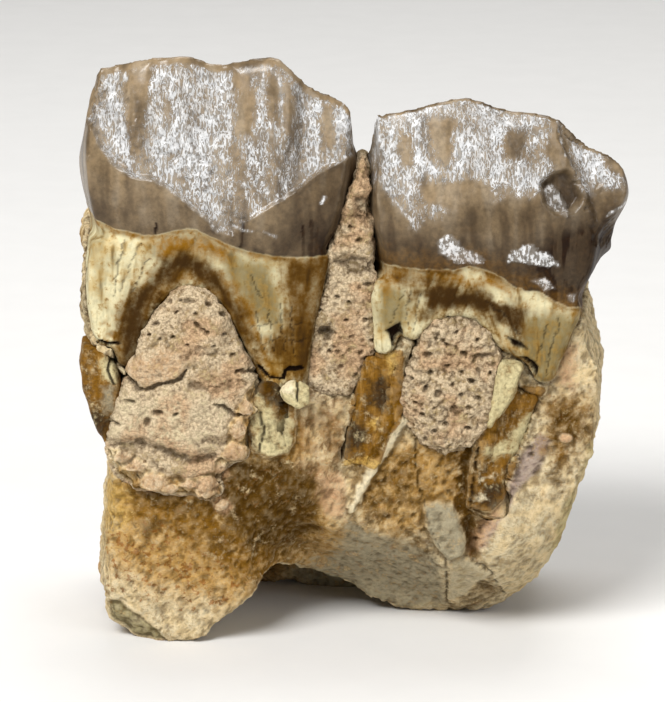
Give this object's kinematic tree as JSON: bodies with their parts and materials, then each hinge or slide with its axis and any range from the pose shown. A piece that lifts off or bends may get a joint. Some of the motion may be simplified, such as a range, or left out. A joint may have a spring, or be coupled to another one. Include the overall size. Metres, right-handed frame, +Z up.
{
  "type": "fossil jaw piece",
  "caption": "Broken piece of fossil upper jaw with molars set crown up in stained bone and silt; stands on a shelf or table as a specimen.",
  "frame": {"origin": "middle of the piece's box, on the plane that its three worn feet rest on", "axes": "+Z up, from the resting plane to the chewing edges; X along the tooth row; -Y is the cheek side that the picture shows"},
  "size_m": [0.0456, 0.0262, 0.0501],
  "materials": {
    "stained_bone": "matte, stained and porous",
    "enamel": "glossy, finely wrinkled",
    "siltstone": "matte, fine-grained and pitted",
    "amber_dentine": "satin",
    "pale_dentine": "satin"
  },
  "bodies": {
    "root": {"jaw_bone": "stained_bone", "front_molar": "enamel", "rear_molar": "enamel", "rock_in_front_molar": "siltstone", "rock_between_molars": "siltstone", "rock_in_rear_molar": "siltstone", "front_molar_front_root_tip": "amber_dentine", "front_molar_rear_root_tip": "amber_dentine", "rear_molar_front_root_tip": "amber_dentine", "rear_molar_rear_root_tip": "amber_dentine", "rear_molar_root_splinter": "pale_dentine", "front_molar_root_chip": "pale_dentine"}
  },
  "joints": []
}
